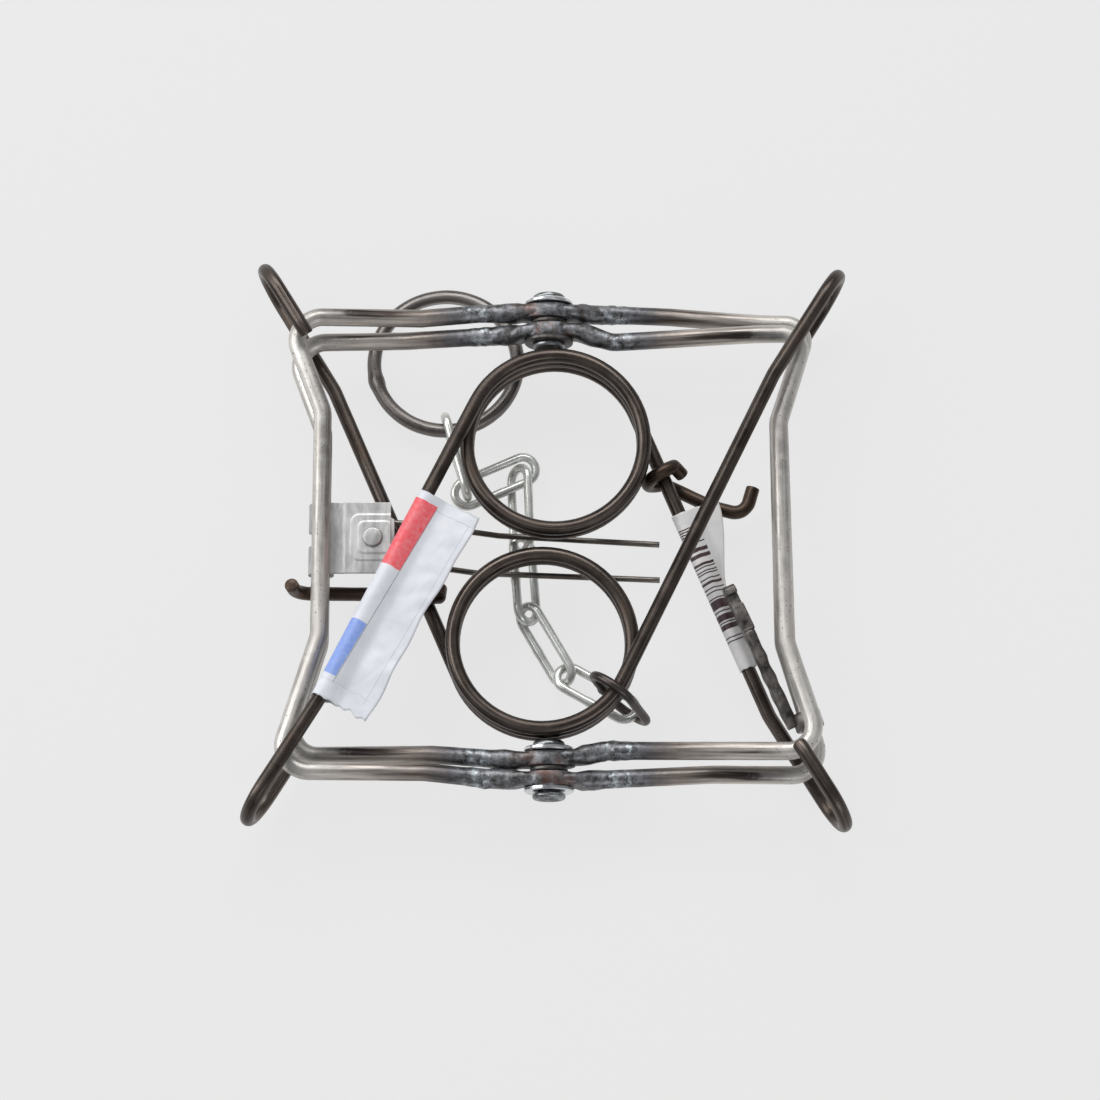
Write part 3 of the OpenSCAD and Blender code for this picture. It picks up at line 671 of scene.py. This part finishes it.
# %% [markdown]
# ## Safety hooks
# A safety hook is soft wire wrapped round a spring's arm, with a shank whose end can
# hook over the jaw. The wrap is two thirds of a turn of helix that ends in a sheared
# tail, and the shank is a bent line that starts where the wrap ends.

# %% Both hooks
ARM_START = {1: coil_point(0), -1: coil_point(COIL_SPAN)}
ARM_WAY = {high: Vector((*ARMS[high][0], EYE_R * high)) - ARM_START[high] for high in (1, -1)}
HOOK_R, WRAP_R, WRAP_RISE, WRAP_TURN = 1.95, 4.6, 2.1, 235


def wrap(at, along, start, steps=40):
    """A straight tail, then a helix round the arm from the start angle to straight down."""
    along = Vector(along).normalized()
    down = Vector((0, 0, -1))
    down = (down - down.dot(along) * along).normalized()
    across = along.cross(down)
    out = []
    for i in range(steps + 1):
        a = radians(start * (1 - i / steps))
        out.append(at + WRAP_R * (cos(a) * down + sin(a) * across) + along * WRAP_RISE * (i / steps - 1))
    tail = out[0] + down * 2.2 + across * copysign(1.5, -start) + along * 3
    return bent([tail] + out, 2)


right_at = ARM_START[-1] + ARM_WAY[-1] * 0.226
left_at = turned @ (ARM_START[-1] + ARM_WAY[-1] * 0.29)
hooks = [
    ("right", right_at, ARM_WAY[-1], -WRAP_TURN, [(46, 13, -10.4), (55.2, 10.4, -9.8), (57.6, 18.5, -9.8)]),
    ("left", left_at, turned @ ARM_WAY[-1], WRAP_TURN, [(-44, -12.4, -9.9), (-70.5, -12.2, -9.6), (-71.5, -11.6, -1.5)])
]
for side, at, way, start, run in hooks:
    mesh = bmesh.new()
    shank = bent([at + Vector((0, 0, -WRAP_R))] + run, 5)
    for line in (wrap(at, way, start), shank):
        sweep(mesh, refined(line, 2), HOOK_R, raised, 0.05, sides=18)
    piece(side + "_safety_hook", "wire", mesh, hook_wire, side + "_hook")

# %% [markdown]
# ## The dog
# The dog holds the set trap open: a forged finger that turns on the outer frame's
# right jaw. Its eye is rolled round the rod, its shank is round, and its end is
# hammered flat and cut with a notch. The flat end starts as an outline that is
# extruded and has its edges bevelled.

# %% A bevelled plate
def plate(mesh, outline, low, high, place, soft):
    """Extrudes an outline (mm) from low to high and rounds its edges."""
    verts = [mesh.verts.new((x * MM, y * MM, low * MM)) for x, y in outline]
    face = mesh.faces.new(verts)
    top = verts_in(bmesh.ops.extrude_face_region(mesh, geom=[face]))
    bmesh.ops.translate(mesh, vec=(0, 0, (high - low) * MM), verts=top)
    both = set(verts + top)
    edges = [e for e in mesh.edges if e.verts[0] in both and e.verts[1] in both]
    made = bmesh.ops.bevel(mesh, geom=edges, offset=soft * MM, segments=3, affect="EDGES", profile=0.5, material=-1)
    every = set(made["verts"]) | {v for v in both if v.is_valid}
    bmesh.ops.transform(mesh, matrix=place, verts=list(every))


# %% Dog
BAR_TOP, BAR_FOOT = Vector((65, -28, 0)), Vector((76, -64.8, 0))  # the right jaw's lower leg, in its plane
DOG_EYE_RUN, DOG_Z, HEAD_TURN, HEAD_HALF_T = 22.5, -1.3, 114.5, 1.7


def dog_section(run):
    lumps = 0.22 * sin(run * 0.5) ** 2 * smooth_step(2, 6, run)
    flat = smooth_step(20, 28, run)
    return 1.8 + 0.6 * flat, 1.7 - 0.1 * flat + lumps, 0.5


mesh = bmesh.new()
bar_way = (BAR_FOOT - BAR_TOP).normalized()
eye = [(2.6, -2.5), (2.75, -2.5), (3.7, -2.5), (4.0, -2.1), (4.0, 2.1), (3.7, 2.5), (2.6, 2.5)]
spun(mesh, eye, axis=(0, 0, 1), steps=36)
stand = Vector((0, 0, 1)).rotation_difference(bar_way).to_matrix().to_4x4()
stand = in_metres(outer_plane @ Matrix.Translation(BAR_TOP + bar_way * DOG_EYE_RUN) @ stand)
bmesh.ops.transform(mesh, matrix=stand, verts=mesh.verts)
dog_line = refined(bent([(67.3, -51.6, -3.6), (60.5, -37, -2.2), (55.2, -24.8, DOG_Z)], 6), 1.0)
sweep(mesh, dog_line, dog_section, raised, 0.22, sides=18, grain=300, cap_bevel=0.35)
stand_up = Matrix.Rotation(radians(HEAD_TURN), 4, "Z") @ Matrix.Rotation(radians(90), 4, "X")
turn_head = in_metres(raised @ Matrix.Translation((52.5, -18.6, DOG_Z)) @ stand_up)
head = [(-7, -1.9), (-6.2, -2.5), (6.2, -2.5), (7, -1.7), (7, 1.6), (6.2, 2.3), (4.5, 2.5), (4.2, 0.3), (1.2, 0.3),
        (1, 2.5), (-6.2, 2.5), (-7, 1.9)]
plate(mesh, head, -HEAD_HALF_T, HEAD_HALF_T, turn_head, 0.35)
piece("dog", "forging", mesh, forged_steel, "dog", 50)

# %% [markdown]
# ## The trigger
# The bracket is stamped from 1 mm sheet: two tabs curl round the jaw, and the plate
# beyond them has two raised, rounded squares pressed into it round the rivet. The
# plate is a fine grid whose points are lifted by the press's own shape, and Solidify
# gives it its wall. Each curl is a strip's edge spun round the jaw.

# %% The pressed plate
BAR = Vector((-63.5 * cos(SHUT), 0, -63.5 * sin(SHUT)))  # the left jaw's centre line
BRACKET_Y, BRACKET_L, REACH, SHEET = 1.5, 20.2, 19.4, 1.0
HOLE = Vector((-49, 1.6, 0))
CURL_R, CURL_L, CURL_TURN = 2.6, 8.0, 318
PLATE_Z = BAR.z + CURL_R  # the plate's underside
PRESS, STEP_DOWN = 0.14, -0.22  # how far each square is pressed up, and the strip by the jaw down


def pressed(x, y):
    """Height of the pressed shape in mm: two steps up, the inner one on the outer."""
    height = 0
    for half_x, half_y, radius in ((6.8, 6.6, 2.6), (4.7, 4.6, 1.8)):
        dx, dy = abs(x) - half_x + radius, abs(y) - half_y + radius
        outside = min(max(dx, dy), 0) + hypot(max(dx, 0), max(dy, 0)) - radius
        height += PRESS * (1 - smooth_step(-0.3, 0.3, outside))
    return height


mesh = bmesh.new()
low_x, high_x = BAR.x + 1.4, BAR.x + REACH
for v in bmesh.ops.create_grid(mesh, x_segments=90, y_segments=104, size=0.5)["verts"]:
    x = low_x + (v.co.x + 0.5) * (high_x - low_x)
    y = BRACKET_Y + v.co.y * BRACKET_L
    step = STEP_DOWN * (1 - smooth_step(4.6, 5.6, x - low_x))
    z = PLATE_Z + SHEET + pressed(x - HOLE.x - 0.6, y - HOLE.y) * 0.85 + step
    v.co = Vector((x, y, z + LIFT)) * MM

# %% The two curls round the jaw, and the wall of the sheet
for s in (-1, 1):
    centre_y = BRACKET_Y + s * (BRACKET_L - CURL_L) / 2
    verts = [mesh.verts.new(Vector((low_x, y, PLATE_Z + SHEET + STEP_DOWN + LIFT)) * MM)
             for y in (centre_y - CURL_L / 2, centre_y + CURL_L / 2)]
    verts = verts_in(bmesh.ops.extrude_edge_only(mesh, edges=[mesh.edges.new(verts)]))
    bmesh.ops.translate(mesh, vec=Vector((BAR.x - low_x, 0, -STEP_DOWN)) * MM, verts=verts)
    bmesh.ops.spin(mesh, geom=verts + edges_among(verts), cent=(BAR + Vector((0, 0, LIFT))) * MM, axis=(0, -1, 0),
                   angle=radians(CURL_TURN), steps=40, use_merge=False)
bmesh.ops.remove_doubles(mesh, verts=mesh.verts, dist=1e-6)
bracket = piece("trigger_bracket", "stamping", mesh, sheet_steel, "trigger", 50)
wall = bracket.modifiers.new("wall", "SOLIDIFY")
wall.thickness, wall.offset = SHEET * MM * 0.96, -1
edge_round = bracket.modifiers.new("edges", "BEVEL")
edge_round.width, edge_round.segments = 0.15 * MM, 2
edge_round.limit_method, edge_round.angle_limit = "ANGLE", radians(60)

# %% Swivel plate, rivet and wires
mesh = bmesh.new()
swivel_top = PLATE_Z - 0.2
swivel_foot = swivel_top - SHEET
outline = [(-54, -6), (-44, -6), (-43, -5), (-43, 7), (-44, 7.6), (-53, 7.6), (-54, 6.6)]
plate(mesh, outline, swivel_foot, swivel_top, in_metres(raised), 0.2)
piece("trigger_swivel", "plate", mesh, sheet_steel, "swivel")

mesh = bmesh.new()
head_z = PLATE_Z + SHEET + 0.02
foot = swivel_foot - 0.2
profile = [(0.01, foot - 0.8), (2.1, foot - 0.8), (2.3, foot - 0.5), (2.3, foot), (1.45, foot), (1.45, head_z),
           (2.7, head_z)]
profile += [(2.2 + 0.6 * cos(radians(a)), head_z + 0.4 + 0.5 * sin(radians(a)))
            for a in range(0, 91, 15)]
profile += [(1.2, head_z + 0.96), (0.01, head_z + 1.02)]
spun(mesh, profile, (HOLE.x, HOLE.y, LIFT), axis=(0, 0, 1), steps=40)
bmesh.ops.remove_doubles(mesh, verts=mesh.verts, dist=2.5e-5)
piece("trigger_rivet", "head", mesh, sheet_steel, "trigger", 55)

mesh = bmesh.new()
WIRE_R = 0.85
wire_z = swivel_foot - WIRE_R
low = -COIL_RISE / 2 - SPRING_R - 0.35 - WIRE_R  # under the coils
for run in ([(-52, 7, wire_z), (-38, 6.2, wire_z), (-14, 4.2, low), (31, 1.6, low)],
            [(-52, -5, wire_z), (-35, -5.8, wire_z), (-20, -6.6, low), (31, -8.6, low)]):
    sweep(mesh, refined(bent(run, 6), 3), WIRE_R, raised, 0.01, sides=12, cap_bevel=0.12)
piece("trigger_wires", "pair", mesh, trigger_wire, "swivel")

# %% [markdown]
# ## Chain and rings
# A link is a length of zinc plated wire, bent to an oval and butt welded on one long
# side, where a slight swelling stays. It is swept along a closed line of two straight
# sides and two half circles. The anchor ring and the small oval ring round the coil
# are made in the same way, with darker wire.

# %% Closed ovals
def oval(long, wide, wire, steps=14):
    """The centre line of a link with that much room inside it, in mm, and that wire."""
    r, half = wide / 2 + wire / 2, (long - wide) / 2
    line = []
    for s in (1, -1):
        line += [(s * (2 * half * k / 8 - half), -s * r) for k in range(9)]
        line += arc((s * half, 0), r, -90 * s, 180 - 90 * s, steps)[1:-1]
    return [Vector((x, y, 0)) for x, y in line]


def weld_lump(radius, at, swell, spread):
    return lambda run: (radius + swell * exp(-((run - at) / spread) ** 2),) * 2 + (0,)


def turn_about(axis, angle):
    return Matrix.Rotation(angle, 4, axis)


# %% The chain's links: their ends, and their roll in degrees
LINK_D, LINK_W, LINK_L = 2.5, 4.8, 22
chain_run = [
    ((-29, 38.2, -12.7), (-23.5, 18.6, -12.8), 90), ((-24.6, 17, -12.9), (-5.9, 25.4, -13.3), 6),
    ((-8.4, 23.2, -13.5), (-7.6, 2.8, -13.45), 50), ((-7.6, 2.8, -13.75), (-6, -17.2, -13.7), -45),
    ((-6, -17.2, -13.7), (4.2, -34.8, -13.3), 45), ((4.2, -34.8, -13.2), (22.4, -45.4, -11.3), -18)
]
for i, (start, end, roll) in enumerate(chain_run, 1):
    start, end = Vector(start), Vector(end)
    way = end - start
    place = (raised @ Matrix.Translation((start + end) / 2) @ turn_about("Z", atan2(way.y, way.x))
             @ turn_about("Y", -asin(way.z / way.length)) @ turn_about("X", radians(roll)))
    mesh = bmesh.new()
    sweep(mesh, oval(LINK_L, LINK_W, LINK_D), weld_lump(LINK_D / 2, 8.6, 0.14, 0.9), place, 0.03, sides=18, closed=True)
    piece(f"chain_link_{i}", "wire", mesh, link_wire, f"link_{i}")

# %% Anchor ring, which leans on link 1 with its far side on the floor
RING_R, RING_D, RING_STEPS = 20.5, 4.0, 96
near = Vector((-29.5, 36.1, -12.7))
tilt = asin((LIFT - RING_D / 2 + near.z) / (2 * RING_R))
place = raised @ Matrix.Translation(near) @ turn_about("X", -tilt) @ Matrix.Translation((0, RING_R, 0))
round_line = [Vector((x, y, 0)) for x, y in arc((0, 0), RING_R, 0, 360, RING_STEPS)[:-1]]
weld_at = RING_R * radians(196)
mesh = bmesh.new()
sweep(mesh, round_line, weld_lump(RING_D / 2, weld_at, 0.42, 2.0), place, 0.05, closed=True,
      heat=lambda run: exp(-((run - weld_at - 1.5) / 8) ** 2))
piece("anchor_ring", "wire", mesh, ring_steel, "anchor_ring")

# %% Coil ring, round the top spring's coil where the chain ends
coil_centre = Vector((-COIL_AT[0], -COIL_AT[1], 0))
chain_end = chain_run[-1][1]
ring_turn = atan2(chain_end[1] + COIL_AT[1], chain_end[0] + COIL_AT[0])
place = (raised @ Matrix.Translation(coil_centre) @ turn_about("Z", ring_turn) @ Matrix.Translation((COIL_R, 0, 0))
         @ turn_about("Y", radians(65)) @ Matrix.Translation((3.4, 0, 0)) @ turn_about("X", radians(90)))
mesh = bmesh.new()
sweep(mesh, oval(22, 10, 2.6), weld_lump(1.3, 6, 0.35, 1.0), place, 0.04, sides=18, closed=True)
piece("coil_ring", "wire", mesh, dark_ring_wire, "coil_ring")

# %% [markdown]
# ## The paper labels
# A label is one strip of paper. Its section runs from the free edge to the wire,
# round the wire, and back to the free edge, where both layers are stuck together. A
# grid is bent to that section: its first coordinate goes along the wire, and its
# second follows the paper. The paper leaves the wire level at its top and its
# underside, and both layers ease together. Gentle noise crumples the flat part, and
# the far end is torn a little unevenly. Solidify gives it 0.15 mm of thickness.

# %% Bending a strip round the wire
ROLL_R = 2.32  # the paper's radius round the wire
CLOSE_AT, CLOSE_LEAST = 7.0, 4.2  # where both layers have met, and at least so far out
PAPER_GAP, UNDERSIDE_V = 0.13, -8.5


def wire_frame(start, way):
    """A place on the wire with three directions: along it, out to the label's free side, and up."""
    along = Vector(way).normalized()
    up = Vector((0, 0, 1))
    up = (up - up.dot(along) * along).normalized()
    out = up.cross(along)
    return start, along, out if out.x > 0 else -out, up


def strip(mesh, at, length, width_at, wave=0.35, lean=0.0, rule=(0, 0)):
    """Bends a grid of paper round the wire.

    width_at gives the free edge's distance from the wire's middle, in mm, at a share of the
    length. rule is where the print's v starts at the near end, and how far it has moved in
    by the far end.
    """
    start, along, out, up = at
    points = bmesh.ops.create_grid(mesh, x_segments=90, y_segments=56, size=0.5)["verts"]
    uv_at = {}
    for v in points:
        share, turn = v.co.x + 0.5, v.co.y * 2
        width = width_at(share)
        run = (1 - abs(turn)) * (width + ROLL_R * pi / 2)
        high = 1 if turn <= 0 else -1
        if run > width:
            angle = pi / 2 + (run - width) / ROLL_R
            flat, lift = ROLL_R * cos(angle), ROLL_R * sin(angle)
        else:
            flat = width - run
            close = max(CLOSE_LEAST, min(CLOSE_AT, width))
            lift = max(ROLL_R * (1 - smooth_step(0, close, flat)), PAPER_GAP)
        ease = smooth_step(3, 12, flat)
        crumple = wave * (0.7 + 1.3 * share ** 2)
        ripple = noise.noise(Vector((share * length * 0.09, flat * 0.05, 3.7))) * crumple * 2.2
        ripple += noise.noise(Vector((share * length * 0.31, flat * 0.22, 9.1))) * crumple * 0.8
        ripple = max(ripple, -0.3) * ease + lean * ease * flat / 14
        torn = noise.noise(Vector((flat * 0.5, share * 3, 1.3))) * (0.25 + 0.9 * share ** 12)
        v.co = (start + along * (share * length + torn) + out * flat + up * (lift * high + ripple)) * MM
        uv_at[v] = (share * length, (flat if high == 1 else UNDERSIDE_V) - rule[0] + rule[1] * share)
    layer = mesh.loops.layers.uv.new("print")
    for face in mesh.faces:
        for corner in face.loops:
            corner[layer].uv = uv_at[corner.vert]


# %% Both labels, on the bottom spring's arms
def flag_width(t):
    return 16.2 - 1.9 * t + 0.3 * sin(t * 9) + 0.25 * sin(t * 23)


def flared_width(t):
    return 3.2 + 8.4 * (1 - smooth_step(0.0, 0.6, t))


upwards = Vector((0, 0, LIFT))
labels = [
    ("flag_label", flag_paper, ARM_START[1] + ARM_WAY[1].normalized() * 30, ARM_WAY[1], 65, flag_width,
     dict(lean=0.5, rule=(4.6, 3.4))),
    ("stripe_label", stripe_paper, ARM_START[-1] + ARM_WAY[-1] * 0.34, ARM_WAY[-1], 48, flared_width, dict(wave=0.2)),
]
for name, paper, start, way, length, width_at, shape in labels:
    mesh = bmesh.new()
    strip(mesh, wire_frame(start + upwards, way), length, width_at, **shape)
    made = piece(name, "paper", mesh, paper, "bottom_spring", 75)
    wall = made.modifiers.new("paper", "SOLIDIFY")
    wall.thickness, wall.offset = 0.15 * MM, 0

# %% [markdown]
# ## Floor, light and camera
# The floor is a plain pale sheet. Seen by the camera, and in the metal's shine, it
# glows at its own colour, and a small part of it still takes the trap's shadow. The
# light is a big soft box above and behind, a smaller one from the left, a weak one
# in front, and a grey world, so that every rod has a pale line along its top and a
# dark side. The camera looks down 14 degrees off the vertical, from the height at
# which the trap fills the picture as in the photograph.

# %% Floor
PALE, GLOW_SHARE = "#e8e8e8", 0.93
mesh = bmesh.new()
bmesh.ops.create_grid(mesh, x_segments=1, y_segments=1, size=3)
data = bpy.data.meshes.new("floor")
mesh.to_mesh(data)
mesh.free()
floor = new_object("floor", data)
material, tree, shader = new_material("pale_paper_floor", 0, 1)
tree.nodes.remove(shader)
seen = add(tree, "LightPath", out="Is Camera Ray")
for ray in ("Is Glossy Ray", "Is Transmission Ray"):
    seen = add(tree, "Math", [seen, add(tree, "LightPath", out=ray)], operation="MAXIMUM")
share = add(tree, "Math", [seen, GLOW_SHARE], operation="MULTIPLY")
glow = add(tree, "Emission", {"Color": PALE, "Strength": 1})
matt = add(tree, "BsdfDiffuse", {"Color": PALE})
both = add(tree, "MixShader", [share, matt, glow])
tree.links.new(both, tree.nodes["Material Output"].inputs["Surface"])
data.materials.append(material)
floor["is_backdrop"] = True

# %% World and lamps
world = bpy.data.worlds.new("studio")
bpy.context.scene.world = world
world.use_nodes = True
sky = world.node_tree.nodes["Background"]
sky.inputs["Color"].default_value = hex_colour("#d8dadd")
sky.inputs["Strength"].default_value = 0.45
soft_boxes = [  # place in metres, width and height, watts
    ("back_soft_box", (-0.1, 0.75, 0.75), (1.1, 0.5), 9), ("left_soft_box", (-0.85, 0.15, 0.6), (0.5, 0.9), 6),
    ("front_soft_box", (0.5, -0.9, 0.7), (0.8, 0.4), 3)
]
for name, place, (width, height), watts in soft_boxes:
    lamp = bpy.data.lights.new(name, "AREA")
    lamp.shape, lamp.size, lamp.size_y, lamp.energy = "RECTANGLE", width, height, watts
    made = new_object(name, lamp)
    made.location = place
    made.rotation_euler = (-Vector(place)).to_track_quat("-Z", "Y").to_euler()
print("lamps:", len(soft_boxes))

# %% Camera
TILT, FAR, FOCAL = radians(14), 0.9, 106.04  # FAR in metres and FOCAL in mm
aim = Vector((0.0003, -0.002, 0.0176))
lens = bpy.data.cameras.new("camera")
lens.lens, lens.sensor_width, lens.clip_start = FOCAL, 36, 0.01
camera = new_object("camera", lens)
camera.location = aim + Vector((0, -sin(TILT), cos(TILT))) * FAR
camera.rotation_euler = (TILT, 0, 0)
bpy.context.scene.camera = camera
bpy.context.scene.view_settings.view_transform = "Standard"

# %% Sizes and the last line
visual_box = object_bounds()
for kind, box in (("cad", cad_box), ("visual", visual_box)):
    print(kind, [round(c * 1000, 1) for p in box for c in p])
